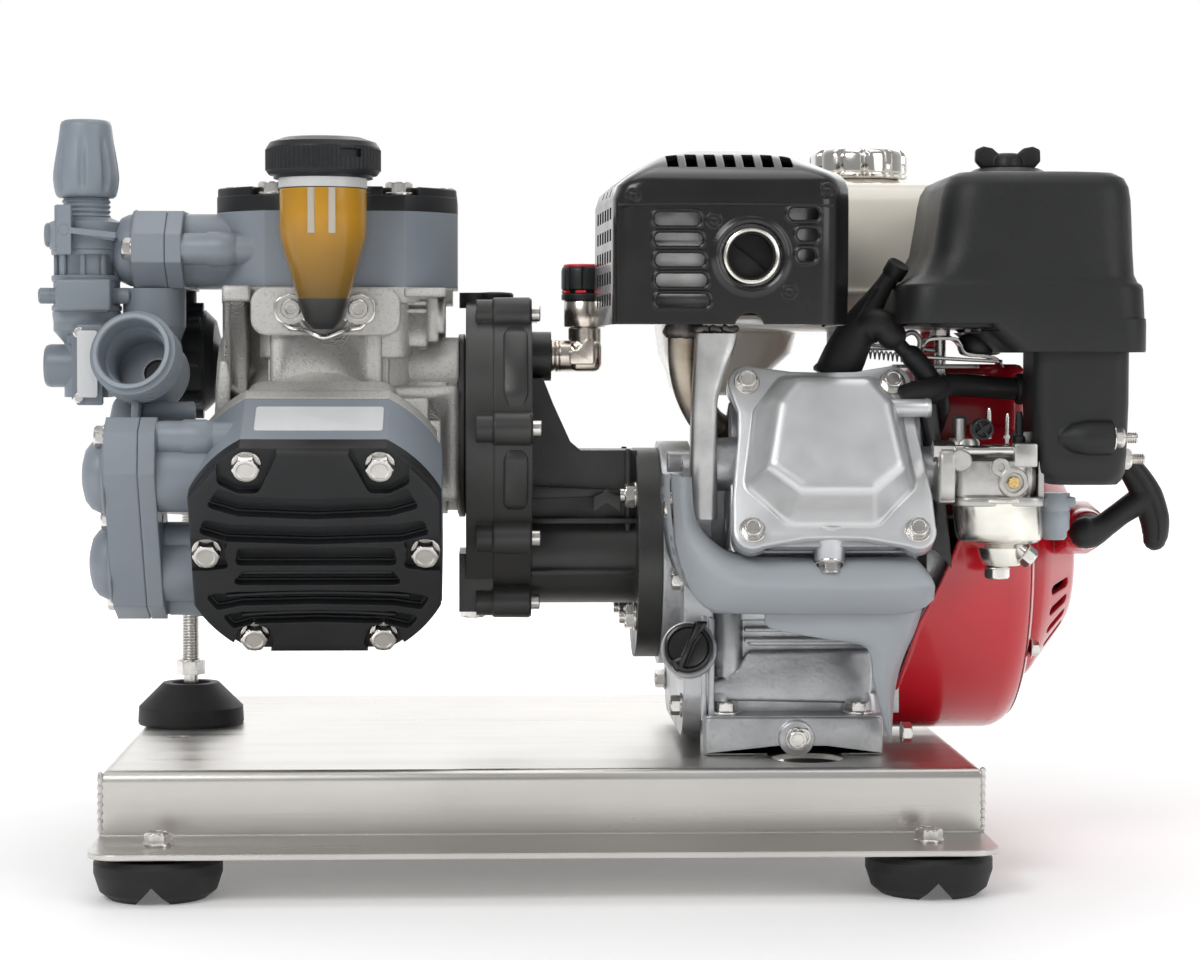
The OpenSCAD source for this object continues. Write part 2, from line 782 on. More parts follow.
module piston_part(side) {
    rod_l = norm([pin_y, wrist_z - pin_z]);
    tilt = atan(pin_y / (wrist_z - pin_z));
    // Piston, wrist pin and the stem through the diaphragm
    difference() {
        union() {
            difference() {
                translate([0, 0, wrist_z - 12]) cylinder(r = piston_r, h = piston_top - wrist_z + 12);
                translate([0, 0, wrist_z - 13]) cylinder(r = piston_r - 5, h = 27);
            }
            translate([-piston_r + 2, 0, wrist_z]) rod_x(4.5, 2 * piston_r - 4);
            translate([0, 0, piston_top - 1]) cylinder(r = 5, h = diaphragm_t + 1.02);
            translate([0, 0, piston_top + diaphragm_t]) cylinder(r = 20, h = 3);
        }
    }
    // Connecting rod with its half of the crank pin
    translate([0, 0, wrist_z]) rotate([-side * tilt, 0, 0]) difference() {
        union() {
            translate([-rod_w / 2, 0, 0]) rod_x(8, rod_w);
            translate([-rod_w / 2, 0, -rod_l]) rod_x(15, rod_w);
            translate([-rod_w / 2 + 1, -5, -rod_l]) cube([rod_w - 2, 10, rod_l]);
        }
        translate([-rod_w, 0, 0]) rod_x(4.5 + run, 2 * rod_w);
    }
}

module top_piston() {
    color("darkgray") head_frame(false) piston_part(1);
}

module front_piston() {
    color("darkgray") head_frame(true) piston_part(-1);
}

module diaphragm_part() {
    translate([0, 0, deck_r]) difference() {
        rotate_extrude() polygon([[0, 0], [diaphragm_r, 0], [diaphragm_r, diaphragm_t], [0, diaphragm_t]]);
        translate([0, 0, -1]) cylinder(r = 5 + run, h = diaphragm_t + 2);
    }
}

module top_diaphragm() {
    color("#2b2b2b") head_frame(false) diaphragm_part();
}

module front_diaphragm() {
    color("#2b2b2b") head_frame(true) diaphragm_part();
}

wheel_x0 = -37;
module pump_crankshaft() {
    web_r = 24;
    left = pump_x - head_pitch - rod_w / 2 - web_gap;
    right = pump_x + head_pitch + rod_w / 2 + web_gap;
    color("gray") translate([0, axis_y, pump_z]) {
        translate([case_left + 12, 0, 0]) rod_x(shaft_r, left - case_left - 12);
        translate([left - web_t, 0, 0]) rod_x(web_r, web_t);
        translate([right, 0, 0]) rod_x(web_r, web_t);
        translate([right, 0, 0]) rod_x(shaft_r, wheel_x0 + gear_width + 3 - right);
    }
}

module bearing(x, r_out, r_in, w, z) {
    translate([x, axis_y, z]) rotate([0, 90, 0]) {
        ring(r_out - run, r_out - 4, w);
        ring(r_in + 4, r_in + run, w);
        translate([0, 0, 1]) ring(r_out - 3.9, r_in + 3.9, w - 2);
    }
}

module shaft_bearings() {
    color("silver") {
        bearing(case_left + 13, bearing_r, shaft_r, 14, pump_z);
        bearing(case_right - 15, bearing_r, shaft_r, 14, pump_z);
        bearing(30, 22, drive_r, 13, engine_z);
    }
}

// Reduction gear

drive_r = 10;
case_x0 = -43;
case_split = -27;
cover_x1 = -5;
wheel_r = gear_module * wheel_teeth / 2;
pinion_r = gear_module * pinion_teeth / 2;
gear_case_r = wheel_r + gear_module + 3 + gearbox_wall;
pinion_case_r = 26 + gearbox_wall;

// Trapezoid teeth that run with backlash, drawn round [0, 0]
module gear_outline(teeth, phase) {
    r = gear_module * teeth / 2;
    root = r - 1.25 * gear_module;
    tip = r + gear_module * 0.9;
    step = 360 / teeth;
    polygon([for (i = [0:teeth - 1], p = [[root, -0.36], [r, -0.22], [tip, -0.1],
        [tip, 0.1], [r, 0.22], [root, 0.36]])
        let (a = (i + p[1]) * step + phase) [p[0] * cos(a), p[0] * sin(a)]]);
}

module gear_wheel() {
    color("gray") translate([wheel_x0, axis_y, pump_z]) difference() {
        union() {
            along_x(gear_width) gear_outline(wheel_teeth, -90);
            rod_x(24, gear_width + 3);
        }
        for (a = [0:60:300]) rotate([a, 0, 0]) translate([-1, 0, 42]) rod_x(9, gear_width + 2);
        translate([-1, 0, 0]) rod_x(shaft_r + run, gear_width + 6);
    }
}

module pinion() {
    color("gray") translate([wheel_x0, axis_y, engine_z]) difference() {
        along_x(gear_width) gear_outline(pinion_teeth, 90 + 180 / pinion_teeth);
        translate([-1, 0, 0]) rod_x(6 + run, gear_width + 2);
    }
}

// Screws round the joint of the gearbox, as [y, z] from the pump shaft
function joint_screws() = [for (a = [62, 0, 118, 180]) (gear_case_r + 1) * [cos(a), sin(a)]];
function low_screws() = [for (s = [-1, 1], p = [[pinion_case_r + 17, 11.5], [24, -27.5]])
    [s * p[0], p[1] - gear_centre]];

module at_joint_screws(x) {
    for (p = concat(joint_screws(), low_screws()))
        translate([x, axis_y + p[0], pump_z + p[1]]) children();
}

module gear_outline_case(grow) {
    belt_shape(gear_case_r + grow, pinion_case_r + grow, gear_centre);
}

module gearbox_case() {
    color("#2a2b2c") difference() {
        union() {
            translate([case_x0, axis_y, pump_z]) along_x(case_split - case_x0) gear_outline_case(0);
            translate([gearbox_left, axis_y, pump_z]) rod_x(52, case_x0 - gearbox_left + 1);
            // Sump block below, with the drain
            translate([case_x0 - 4, axis_y - 28, engine_z - pinion_case_r - 2])
                cube([case_split - case_x0 + 4, 56, 34]);
            at_joint_screws(case_split - 10) rod_x(8, 10);
            translate([case_x0 + 5, axis_y, pump_z + gear_case_r - 4]) cylinder(r = 9, h = 9);
        }
        translate([case_x0 + gearbox_wall, axis_y, pump_z])
            along_x(40) gear_outline_case(-gearbox_wall);
        translate([gearbox_left - 1, axis_y, pump_z]) rod_x(shaft_r + 1.5, 20);
        at_joint_screws(case_split - 8) rod_x(3.2, 20);
    }
}

bell_x1 = 56;
flange_x1 = 70;
module bell_housing() {
    color("#2a2b2c") difference() {
        union() {
            translate([case_split, axis_y, pump_z]) along_x(cover_x1 - case_split)
                gear_outline_case(0);
            at_joint_screws(case_split) rod_x(8.5, cover_x1 - case_split);
            // Barrel round the drive shaft, with a gusset box above it
            translate([cover_x1 - 1, axis_y, engine_z]) rod_x(30, bell_x1 - cover_x1 + 2);
            translate([0, axis_y + 20, 0]) toward_front(40)
                polygon([[cover_x1 - 1, engine_z], [bell_x1 + 1, engine_z],
                    [bell_x1 + 1, engine_z + 61], [24, engine_z + 61], [18, engine_z + 66],
                    [8, engine_z + 88], [2, engine_z + 103], [cover_x1 - 1, engine_z + 103]]);
            for (z = [-11, 19]) translate([cover_x1, axis_y - 32, engine_z + z])
                cube([bell_x1 - cover_x1, 64, 2.4]);
            translate([bell_x1, axis_y, engine_z]) rod_x(flange_r, flange_x1 - bell_x1);
            // Boss for the breather
            translate([cover_x1 - 1, axis_y, pump_z + 41]) rod_x(14.5, 13);
        }
        translate([case_split - 1, axis_y, pump_z])
            along_x(cover_x1 - case_split - gearbox_wall + 1) gear_outline_case(-gearbox_wall);
        translate([-20, axis_y, engine_z]) rod_x(drive_r + 2, 100);
        translate([30, axis_y, engine_z]) rod_x(22, 60);
        at_joint_screws(-40) rod_x(3.2, 60);
        translate([-20, axis_y, pump_z + 41]) rod_x(7.5, 40);
        at_bell_studs() rod_x(bolt_hole_r, 60);
        // Relief panel in the gusset
        for (s = [-1, 1]) translate([2, axis_y + s * 14 - 0, engine_z + 35])
            cube([bell_x1 - 4, 9, 18]);
    }
}

module at_bell_studs() {
    for (a = [45:90:315]) translate([bell_x1 - 10, axis_y, engine_z])
        rotate([a, 0, 0]) translate([0, 0, 50]) children();
}

module gearbox_screws() {
    color("gainsboro") {
        at_joint_screws(cover_x1) rotate([0, 90, 0]) socket_screw(28, 4.6, 5);
        // Nuts on the engine's four studs
        at_bell_studs() translate([10, 0, 0]) rotate([0, -90, 0]) hex_bolt(11);
        // Drain plug under the sump
        translate([case_x0 + 4, axis_y - 6, engine_z - pinion_case_r - 2.02]) rotate([180, 0, 0])
            cylinder(d = 13 / cos(30), h = 5, $fn = 6);
    }
}

elbow_x = 26.5;
module breather_elbow() {
    color("#b9a58c") translate([0, axis_y, pump_z + 41]) {
        translate([-4, 0, 0]) rod_x(7.4, 13);
        translate([7.02, 0, 0]) rod_x(9, elbow_x - 7);
        for (i = [0:1]) translate([8.5 + i * 3, 0, 0]) rod_x(9.9, 1.6);
        translate([elbow_x, 0, 0]) sphere(10.6);
        translate([elbow_x, 0, 4]) cylinder(r = 10, h = 14);
        translate([elbow_x, 0, 17]) cylinder(r = 12, h = 16);
    }
}

module breather_cap() {
    z = pump_z + 41 + 33.02;
    color("#1c1d1f") translate([elbow_x, axis_y, z]) {
        cylinder(r = 13, h = 4.5);
        difference() {
            translate([0, 0, 4.5]) cylinder(r = 13.2, h = 15.5);
            for (a = [0:45:315]) rotate(a) translate([14, 0, 7]) cylinder(r = 2.6, h = 20);
        }
    }
}

// Engine block

block_x0 = flange_x1 + 0.02;
split_x = 96;
block_x1 = 204;
block_y0 = -99;
block_y1 = 45;
sleeve_r = bore_d / 2;
liner_top = 96;
head_joint = 100;
face_r = 140;

// The two rails that stand on the plate, in front and behind
module foot_rails(grow) {
    for (y = [-1, 1]) translate([engine_foot_x, axis_y - 3 + y * mount_y / 2, z_plate])
        round_block(102 + 2 * grow, 26 + 2 * grow, engine_foot_h + grow, 5);
}

module engine_block() {
    color("lightgray") difference() {
        union() {
            translate([split_x, block_y0, z_plate + engine_foot_h - 1])
                cube([block_x1 - split_x, block_y1 - block_y0, 138]);
            foot_rails(0);
            // Posts under the fuel tank
            for (y = [-4, 34]) translate([186, y, engine_z + 40])
                cylinder(r = 8, h = tank_bottom - engine_z - 40.02);
            translate([split_x, block_y0 + 6, z_plate + 6])
                cube([block_x1 - split_x - 6, block_y1 - block_y0 - 12, engine_foot_h]);
            // Ribs on the front wall
            for (z = [52, 60]) translate([split_x + 22, block_y0 - 3, z_plate + z])
                cube([82, 4, 3]);
            cylinder_frame() {
                translate([0, 0, 40]) cylinder(r = sleeve_r + 7, h = head_joint - 40);
                for (z = [75:9:95]) translate([0, 0, z]) round_block(98, 96, 2.4, 18);
            }
            // Drain boss in the front rail
            translate([engine_foot_x + 4, axis_y - 3 - mount_y / 2, z_plate + 11])
                rod_front(9.5, 14.5);
        }
        // Crank chamber, cylinder bore and shaft holes
        translate([split_x + 7, block_y0 + 8, z_plate + engine_foot_h + 4])
            cube([block_x1 - split_x - 14, block_y1 - block_y0 - 16, 126]);
        cylinder_frame() cylinder(r = sleeve_r, h = head_joint + 1);
        translate([split_x - 1, axis_y, engine_z]) rod_x(20, 30);
        translate([block_x1 - 30, axis_y, engine_z]) rod_x(14, 40);
        at_engine_mounts() translate([0, 0, -1]) cylinder(r = bolt_hole_r + 0.3, h = 60);
        // Relief under the front rail
        translate([engine_foot_x + 6, axis_y - 3 - mount_y / 2 - 1, z_plate - 1])
            cube([42, 40, 7], center = true);
        for (p = cover_bolts()) translate([split_x - 1, p[0], p[1]]) rod_x(3.3, 12);
    }
}

cover_face_x = 80;
cover_y0 = block_y0 - 13;
module block_cover() {
    color("lightgray") difference() {
        union() {
            translate([block_x0, axis_y, engine_z]) rod_x(66, 18);
            translate([cover_face_x, (block_y0 + block_y1) / 2, z_plate + 88]) rotate([90, 0, 90])
                round_block(block_y1 - block_y0 + 26, 162, split_x - cover_face_x - 0.02, 30);
            // Filler neck for the dipstick, leaning to the front
            dipstick_frame() translate([0, 0, -36]) cylinder(r = 15, h = 36);
        }
        translate([block_x0 - 1, axis_y, engine_z]) rod_x(drive_r + 3, 60);
        translate([block_x0 + 7, axis_y, engine_z]) rod_x(50, 40);
        at_bell_studs() translate([9, 0, 0]) rod_x(bolt_hole_r, 16);
        for (p = cover_bolts()) translate([block_x0 - 1, p[0], p[1]]) rod_x(3.3, 40);
        dipstick_frame() translate([0, 0, -30]) cylinder(r = 9, h = 40);
        translate([split_x - 0.02, -200, 0]) cube([60, 400, 400]);
        foot_rails(gap);
        at_engine_mounts() translate([0, 0, engine_foot_h]) cylinder(r = washer_r + 1, h = 20);
    }
}

// Cover bolts as [y, z]
function cover_bolts() = [[-101, engine_z - 11], [-94, z_plate + 25], [44, z_plate + 25],
    [47, engine_z + 30], [-93, engine_z + 42]];

module dipstick_frame() {
    translate([82, -122, engine_z - 48]) rotate([78, 0, -6]) children();
}

module oil_dipstick() {
    color("#1c1d1f") dipstick_frame() {
        translate([0, 0, 0.1]) cylinder(r = 14, h = 8);
        translate([0, 0, 5]) hull() for (s = [-1, 1])
            translate([s * 9, 0, 0]) cylinder(r = 3, h = 11, $fn = soft_fn);
        translate([0, 0, -22]) cylinder(r = 6, h = 24);
    }
}

module engine_bolts() {
    color("gainsboro") {
        for (p = cover_bolts()) translate([cover_face_x - 0.02, p[0], p[1]]) rotate([0, -90, 0])
            cover_bolt(20);
        cylinder_frame() at_valve_bolts() translate([0, 0, face_r + 6.02]) cover_bolt(16);
        translate([engine_foot_x + 4, axis_y - 3 - mount_y / 2 - 14.52, z_plate + 11])
            rotate([90, 0, 0]) cover_bolt(0);
        translate([cylinder_x - 1.5, -150, 145.98]) rotate([180, 0, 0]) cover_bolt(0);
    }
}

module cover_bolt(shank) {
    cylinder(r = 7, h = 1.2);
    translate([0, 0, 1.2]) cylinder(d = 10 / cos(30), h = 5.4, $fn = 6);
    translate([0, 0, -shank]) cylinder(r = 3, h = shank + 1);
}

module at_valve_bolts() {
    for (p = [[-45, -44], [45, -44], [-45, 44], [36, 44]]) translate([p[0], p[1], 0]) children();
}

module cylinder_head() {
    color("gainsboro") difference() {
        head_casting();
        bar(plug_seat, lead_route[0], 5 + gap, 5 + gap);
    }
}

module head_casting() {
    cylinder_frame() difference() {
        union() {
            translate([0, 0, head_joint + 0.02]) round_block(92, 88, face_r - head_joint - 0.04, 10);
            for (z = [head_joint + 2:8:face_r - 8]) translate([0, 0, z])
                round_block(106, 100, 2.4, 14);
            translate([0, 0, face_r - 6]) valve_cover_flange(5.98);
            // Exhaust port to the left and inlet port to the right
            translate([-72, 6, 120]) rod_x(15, 30);
            translate([40, 0, 126]) rod_x(13, 17.9);
        }
        at_valve_bolts() translate([0, 0, face_r - 15]) cylinder(r = 3.3, h = 20);
        translate([0, 0, head_joint - 1]) cylinder(r = sleeve_r - 6, h = 9);
        translate([0, 0, face_r - 18]) round_block(62, 60, 20, 8);
    }
}

module valve_cover_flange(t) {
    linear_extrude(t) {
        round_rect(100, 84, 12);
        at_valve_bolts() circle(10.5);
        round_rect(84, 102, 12);
    }
}

module valve_cover() {
    color("silver") cylinder_frame() translate([0, 0, face_r]) difference() {
        union() {
            valve_cover_flange(6);
            // Hose nipple
            translate([32, 26, 12]) rod_x(5, 23.5);
            // Faceted dome, narrower at the top
            hull() {
                translate([0, -1, 5]) linear_extrude(1) polygon([[-47, -18], [-24, -40], [22, -40],
                    [44, -18], [38, 26], [26, 46], [-26, 46], [-40, 26]]);
                translate([0, 1, 30]) linear_extrude(1) polygon([[-38, -16], [-20, -31], [19, -31],
                    [37, -16], [31, 22], [20, 36], [-20, 36], [-31, 22]]);
            }
        }
        translate([0, 0, -1]) round_block(62, 58, 24, 8);
        at_valve_bolts() translate([0, 0, -1]) cylinder(r = 3.3, h = 20);
    }
}

// Muffler and its shield

shield_x0 = 31;
shield_x1 = 165;
shield_y0 = -190;
shield_y1 = -72;
shield_z0 = 303;
shield_z1 = 394;

module muffler() {
    w = shield_x1 - shield_x0;
    d = shield_y1 - shield_y0;
    h = shield_z1 - shield_z0;
    color("dimgray") difference() {
        union() {
            translate([shield_x0 + w / 2 + 2, (shield_y0 + shield_y1) / 2, shield_z0 + h / 2 - 14])
                soft_block(w - 14, d - 14, h - 18, 18);
            translate([111, shield_y0 + 12, 339]) rod_front(15.5, 12);
            // Exhaust pipe from the head
            translate([pipe_x, pipe_y, pipe_z]) cylinder(r = pipe_r, h = 34);
            translate([pipe_x, pipe_y, pipe_z]) sphere(pipe_r);
            bar([pipe_x, pipe_y, pipe_z], exhaust_end(), pipe_r, pipe_r);
            translate(exhaust_end()) sphere(pipe_r + 0.6);
            translate(exhaust_end()) rod_x(pipe_r, cylinder_x - 72.02 - pipe_x);
            // Flat stay down to the block
            translate([84, stay_y - 4, engine_z + 24]) cube([15, 4, shield_z0 - engine_z - 16]);
            translate([84, stay_y - 4, engine_z + 24]) cube([10, cover_y0 - stay_y + 3.98, 4]);
        }
        translate([111, shield_y0 + 20, 339]) rod_front(13.8, 40);
    }
}

pipe_r = 9;
pipe_x = 75;
pipe_y = -120;
pipe_z = 272;
stay_y = -148;
// Where the pipe meets the exhaust port, straight out from it
function exhaust_end() = [pipe_x, axis_y - 120 * cos(cylinder_tilt) + 6 * sin(cylinder_tilt),
    engine_z + 120 * sin(cylinder_tilt) + 6 * cos(cylinder_tilt)];

// Sheet box over the muffler, open below and behind
module shield_shape(grow) {
    h = shield_z1 - shield_z0;
    slope = 20;
    polygon([[-grow, -grow], [shield_x1 - shield_x0 + grow, -grow],
        [shield_x1 - shield_x0 + grow, h - slope - 4 + grow],
        [shield_x1 - shield_x0 - slope + grow, h + grow],
        [slope * 1.6 - grow, h + grow], [-grow, h - slope - 6 + grow]]);
}

module muffler_shield() {
    wall = 1.6;
    d = shield_y1 - shield_y0;
    color("#1b1c1e") difference() {
        translate([shield_x0, shield_y1, shield_z0]) toward_front(d) shield_shape(0);
        translate([shield_x0, shield_y1 + 1, shield_z0]) toward_front(d - wall + 1)
            difference() {
                shield_shape(-wall);
                translate([0, -200]) square([0.1, 0.1]);
            }
        translate([shield_x0 + wall, shield_y0 + wall, shield_z0 - 1])
            cube([shield_x1 - shield_x0 - 2 * wall, d, 20]);
        // Outlet and cooling slots in the front
        translate([111, shield_y0 + 10, 339]) rod_front(17, 20);
        for (i = [0:4]) translate([shield_x0 + 26 + 26 / 2 + 1.5, shield_y0 + 5, 363 - i * 11.6])
            toward_front(10) round_rect(26 + i * 0.8, 6.6, 3.2);
        for (i = [0:2]) translate([146 + i * 0.8, shield_y0 + 5, 362 - i * 10.8])
            toward_front(10) round_rect(17 - i * 2, 6.6, 3);
        // Slots in the roof
        for (i = [0:6]) translate([67 + i * 11, shield_y0 + 14, shield_z1 - 10]) cube([6, 26, 30]);
    }
}

// Carburettor and air cleaner

carb_x = 252;
carb_y = -152;
carb_z = engine_z + 35;
inlet_z = engine_z + 52;

module carburettor() {
    color("lightgray") {
        translate([carb_x - 26, carb_y - 22, carb_z]) cube([40, 44, 32]);
        translate([carb_x, carb_y, carb_z - 5]) cylinder(r = 24.6, h = 6);
        // Flange towards the head with its stud bars
        translate([carb_x - 36, carb_y - 26, carb_z + 2]) cube([11, 50, 34]);
        for (y = [-1, 1]) translate([carb_x - 36, carb_y + y * 18 - 3, carb_z + 31]) rod_x(4, 48);
        translate([carb_x - 12, carb_y - 22, carb_z + 14]) rod_front(5, 3);
        translate([carb_x + 2, carb_y - 22, carb_z + 5]) rod_front(7, 4);
        translate([carb_x - 14, carb_y + 4, carb_z + 31]) cylinder(r = 9, h = 12);
        translate([carb_x - 10, carb_y - 14, carb_z + 40]) rod_front(8, 8);
        translate([carb_x - 10, carb_y - 15, carb_z + 31]) cylinder(r = 3, h = 9);
        for (x = [4, 9]) translate([carb_x + x, carb_y - 8, carb_z + 31]) cylinder(r = 2, h = 18);
        // Inlet pipe to the head and the throat towards the air cleaner
        translate([cylinder_x + 57.92, axis_y - 126 * cos(cylinder_tilt),
            engine_z + 126 * sin(cylinder_tilt)]) rod_x(13, 12);
        translate([carb_x + 13, carb_y, carb_z + 16]) rod_x(12, duct_x0 - carb_x - 13.02);
    }
}

module float_bowl() {
    color("silver") translate([carb_x, carb_y, carb_z - 5.02]) {
        rotate([180, 0, 0]) rotate_extrude() polygon([[0, 0], [25, 0], [25, 17], [23.5, 20.5],
            [19.5, 22], [13, 33], [11, 35], [0, 35]]);
        translate([-1, 0, -40.5]) cylinder(d = 12 / cos(30), h = 6, $fn = 6);
        translate([10, -8, -23]) rotate([0, 125, 0]) cylinder(d = 10 / cos(30), h = 16, $fn = 6);
    }
}

duct_x0 = 267;
duct_x1 = 320;
duct_y0 = -172;
duct_y1 = -126;
box_z0 = 290;
box_z1 = 388;

module air_cleaner_base() {
    w = duct_x1 - duct_x0;
    color("#2d3033") difference() {
        union() {
            translate([(duct_x0 + duct_x1) / 2, (duct_y0 + duct_y1) / 2, inlet_z - 6])
                round_block(w, duct_y1 - duct_y0, box_z0 - inlet_z + 18, 10);
            translate([(duct_x0 + duct_x1) / 2, (duct_y0 + duct_y1) / 2, inlet_z - 12])
                round_block(w - 14, duct_y1 - duct_y0 - 12, 8, 10);
            // Tray under the filter
            translate([268, -110, box_z0 + 12]) round_block(112, 118, 4, 16);
            // Stud boss towards the front
            translate([306, duct_y0 + 6, inlet_z + 8]) rod_front(8, 9);
            // Stud for the wing nut
            translate([262, -110, box_z0 + 13]) cylinder(r = 3, h = box_z1 - box_z0 + 3);
        }
        translate([duct_x0 - 1, carb_y, carb_z + 16]) rod_x(9, 20);
        translate([(duct_x0 + duct_x1) / 2, (duct_y0 + duct_y1) / 2, inlet_z + 2])
            round_block(w - 10, duct_y1 - duct_y0 - 10, 90, 6);
    }
}

module filter_element() {
    color("#c9a25a") translate([262, -110, box_z0 + 16.02]) ring(42, 22, 52);
}

module air_cleaner_cover() {
    cy = -110;
    color("#2d3033") difference() {
        union() {
            translate([271, cy, box_z0 + 62]) soft_block(108, 124, 72, 18);
            translate([262, cy, box_z0 + 14]) round_block(134, 134, 20, 14);
            translate([266, cy, box_z0 + 34]) round_block(122, 130, 4, 14);
            // Skirt that drops on the right
            translate([291.5, cy, box_z0 - 2]) round_block(75, 134, 20, 14);
            translate([262, cy, box_z1 - 1]) cylinder(r1 = 23, r2 = 17, h = 5);
        }
        // Hollow
        translate([271, cy, box_z0 + 57]) soft_block(102, 118, 74, 16);
        translate([264, cy, box_z0 - 3]) round_block(122, 126, 38, 10);
        translate([262, cy, box_z1 - 30]) cylinder(r = 3 + gap, h = 60);
    }
}

module wing_nut() {
    color("#2d3033") translate([262, -110, box_z1 + 4.02]) difference() {
        hull() for (s = [-1, 1]) translate([s * 12, 0, 0]) cylinder(r = 6.5, h = 12, $fn = soft_fn);
        translate([0, 30, 17]) rod_front(9, 60);
        translate([0, 0, -1]) cylinder(r = 3 + run, h = 30);
    }
}

// Fuel tank

tank_x0 = 72;
tank_x1 = 300;
tank_y0 = -34;
tank_y1 = 128;
tank_z1 = 391;
tank_bottom = 301;
cap_x = 199;
cap_y = 50;

module fuel_tank() {
    w = tank_x1 - tank_x0;
    d = tank_y1 - tank_y0;
    mid = [(tank_x0 + tank_x1) / 2, (tank_y0 + tank_y1) / 2, 0];
    color("linen") difference() {
        union() {
            translate(mid + [0, 0, 355]) soft_block(w, d, 72, 26);
            translate(mid + [0, 0, 322]) round_block(w + 8, d + 8, 4, 28);
            translate(mid + [0, 8, 316]) soft_block(w - 8, d - 24, 30, 22);
            // Deeper sump at the left
            translate([118, 66, 298]) soft_block(84, 104, 44, 22);
            translate([112, 66, 282]) soft_block(56, 80, 40, 18);
            translate([cap_x, cap_y, tank_z1 - 2]) ring(26, 20, 6);
        }
        translate(mid + [0, 0, 350]) soft_block(w - 8, d - 8, 72, 22);
        translate([118, 66, 302]) soft_block(76, 96, 44, 18);
        translate([cap_x, cap_y, tank_z1 - 20]) cylinder(r = 20, h = 40);
    }
}

module fuel_cap() {
    color("gainsboro") translate([cap_x, cap_y, tank_z1 + 4.02]) {
        difference() {
            rotate_extrude() polygon([[0, 0], [30, 0], [30.5, 2], [30.5, 15], [28, 18], [0, 19]]);
            for (a = [0:30:330]) rotate(a) translate([33.5, 0, 3]) cylinder(r = 5, h = 20);
        }
        translate([0, 0, -12]) cylinder(r = 20 - gap, h = 13);
    }
}

// Fan housing and recoil starter

fan_x0 = 212;
fan_x1 = 290;
duct_top = 282;
block_duct_y = axis_y - 70;
module fan_housing() {
    wall = 2;
    color("firebrick") difference() {
        union() {
            translate([fan_x0, axis_y, engine_z]) rotate([0, 90, 0])
                cylinder(r1 = fan_r, r2 = fan_r - 6, h = fan_x1 - fan_x0);
            // Air duct up to the cylinder
            translate([240, 12, duct_top - 2]) cylinder(r = 8, h = tank_bottom - duct_top + 1.98);
            translate([fan_x0, block_duct_y, duct_top - 78]) cube([fan_x1 - fan_x0 - 12, 120, 78]);
        }
        translate([fan_x0 - 1, axis_y, engine_z]) rotate([0, 90, 0])
            cylinder(r1 = fan_r - wall, r2 = fan_r - 6 - wall, h = fan_x1 - fan_x0 - wall + 1);
        translate([fan_x0 - 1, block_duct_y + wall, duct_top - 84])
            cube([fan_x1 - fan_x0 - 12 - wall + 1, 120 - 2 * wall, 84 - wall]);
        translate([fan_x0, axis_y, engine_z]) rod_x(recoil_r - 14, 100);
    }
}

recoil_l = 44;
module recoil_cover() {
    color("firebrick") translate([fan_x1 + 0.02, axis_y, engine_z]) difference() {
        union() {
            translate([rope_x - fan_x1, -60, rope_z - engine_z]) rod_front(9, 25);
            recoil_drum();
        }
        // Inside
        translate([-1, 0, 0]) rod_x(recoil_r - 4, recoil_l - 14);
        translate([-1, 0, 0]) rod_x(recoil_r - 16, recoil_l - 2);
        // Cooling slots round the rim and in the face
        for (a = [30:30:330]) rotate([a, 0, 0]) translate([recoil_l - 22, -4, recoil_r - 20])
            cube([30, 8, 40]);
        translate([rope_x - fan_x1, 0, rope_z - engine_z]) rod_front(4, 120);
    }
}

module recoil_drum() {
    rotate([0, 90, 0]) rotate_extrude() polygon([[0, 0], [recoil_r, 0], [recoil_r + 2, 2],
        [recoil_r - 1, recoil_l - 12], [recoil_r - 12, recoil_l - 1], [0, recoil_l]]);
}

rope_x = 310;
rope_y = -118;
rope_z = engine_z + 18;
module starter_handle() {
    color("#1c1d1f") {
        // T grip with its stem
        bar([329, rope_y, rope_z + 36], [341, rope_y, rope_z + 22], 8, 9);
        bar([341, rope_y, rope_z + 22], [345, rope_y, rope_z - 5], 9, 7.4);
        translate([329, rope_y, rope_z + 36]) sphere(8.2);
        translate([341, rope_y, rope_z + 22]) sphere(9.2);
        translate([345, rope_y, rope_z - 5]) sphere(7.6);
        bar([341, rope_y, rope_z + 19], [rope_x, rope_y, rope_z], 7, 8);
        translate([rope_x, rope_y, rope_z]) sphere(8.4);
        // Neck and the rope that runs inside to the drum
        translate([rope_x, -109.02, rope_z]) rod_front(7, 9);
        translate([rope_x, -50, rope_z]) rod_front(2.4, 62);
    }
}

// Lower shroud

module lower_shroud() {
    color("#8b9097") {
        // Front plate, its side wall on the left, and the tray back to the block
        translate([0, -166, 0]) toward_front(2) polygon([[71, 223], [78, 223], [84, 200],
            [103, 176], [204, 176], [213.4, 180], [213.4, 196], [216, 196], [217, 161],
            [193, 146], [92, 146], [80, 165]]);
        translate([0, -118, 0]) toward_front(49) polygon([[71, 214], [73, 214], [82, 165],
            [93, 148], [97, 148], [97, 146], [92, 146], [80, 165]]);
        translate([96, -167, 146]) cube([104, 167 + block_y0 - 0.02, 2]);
    }
}

// Ignition lead, hose, levers

